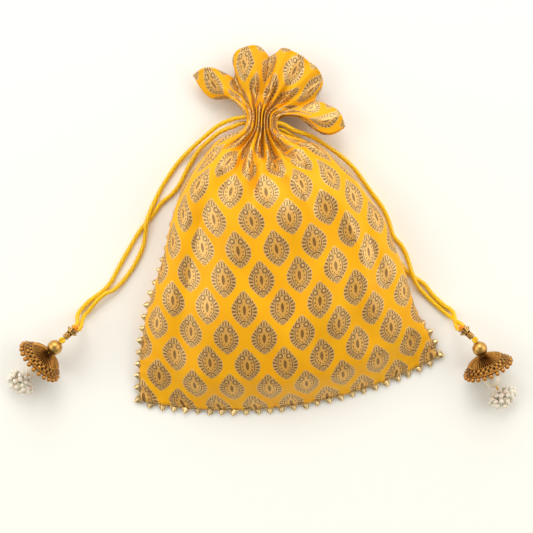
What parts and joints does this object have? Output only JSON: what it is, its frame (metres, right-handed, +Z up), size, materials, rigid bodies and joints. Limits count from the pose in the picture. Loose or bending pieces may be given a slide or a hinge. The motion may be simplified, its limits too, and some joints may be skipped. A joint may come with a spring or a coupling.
{
  "type": "potli bag",
  "caption": "Drawstring pouch of yellow brocade with a gathered neck, fanned frill, lace edge and two cords that end in bead, bell and pearl tassels.",
  "frame": {"origin": "centre of the bag's outline (without the strings) on the table that it lies on", "axes": "+X across the bag to the right, +Y from the bottom seam to the frill, +Z up from the table"},
  "size_m": [0.3441, 0.252, 0.0424],
  "materials": {
    "brocade_front": "yellow silk brocade with a woven metallic buti lattice",
    "brocade_back": "yellow silk brocade with a woven metallic buti lattice",
    "gota_lace": "folded gold ribbon lace on a tape",
    "cord": "bright yellow satin cord",
    "whipping": "orange silk whipping",
    "thread": "yellow stringing thread",
    "brass": "antique gold plate",
    "bead": "bright antique gold plate",
    "bell": "dark antique gold filigree",
    "pearl": "coated imitation pearl",
    "seed_pearl": "coated imitation seed pearls"
  },
  "bodies": {
    "pouch": {"front_panel": "brocade_front", "back_panel": "brocade_back", "edge_lace": "gota_lace", "left_drawstring": "cord", "right_drawstring": "cord", "left_cord_whipping": "whipping", "left_bead_cap": "brass", "left_ring_bead": "brass", "left_stop_knot": "cord", "left_pearl_cluster": "seed_pearl", "left_tassel_thread": "thread", "right_cord_whipping": "whipping", "right_bead_cap": "brass", "right_ring_bead": "brass", "right_stop_knot": "cord", "right_pearl_cluster": "seed_pearl", "right_tassel_thread": "thread"},
    "left_gold_bead": {"left_gold_bead": "bead"},
    "left_bell_cap": {"left_bell_cap": "bell"},
    "left_large_pearl": {"left_large_pearl": "pearl"},
    "right_gold_bead": {"right_gold_bead": "bead"},
    "right_bell_cap": {"right_bell_cap": "bell"},
    "right_large_pearl": {"right_large_pearl": "pearl"}
  },
  "joints": [
    {"name": "left_gold_bead_turn", "type": "hinge", "parent": "pouch", "child": "left_gold_bead", "pos_m": [-0.1565, -0.0772, 0.02093], "axis": [-0.7193, -0.6512, -0.2419], "continuous": true},
    {"name": "left_bell_cap_turn", "type": "hinge", "parent": "pouch", "child": "left_bell_cap", "pos_m": [-0.1565, -0.0772, 0.02093], "axis": [-0.7193, -0.6512, -0.2419], "continuous": true},
    {"name": "left_large_pearl_turn", "type": "hinge", "parent": "pouch", "child": "left_large_pearl", "pos_m": [-0.1732, -0.0926, 0.0056], "axis": [-0.6753, -0.7214, 0.1535], "continuous": true},
    {"name": "right_gold_bead_turn", "type": "hinge", "parent": "pouch", "child": "right_gold_bead", "pos_m": [0.1286, -0.0782, 0.02093], "axis": [0.4066, -0.881, -0.2419], "continuous": true},
    {"name": "right_bell_cap_turn", "type": "hinge", "parent": "pouch", "child": "right_bell_cap", "pos_m": [0.1286, -0.0782, 0.02093], "axis": [0.4066, -0.881, -0.2419], "continuous": true},
    {"name": "right_large_pearl_turn", "type": "hinge", "parent": "pouch", "child": "right_large_pearl", "pos_m": [0.1392, -0.1004, 0.0056], "axis": [0.5322, -0.8343, 0.1439], "continuous": true}
  ]
}
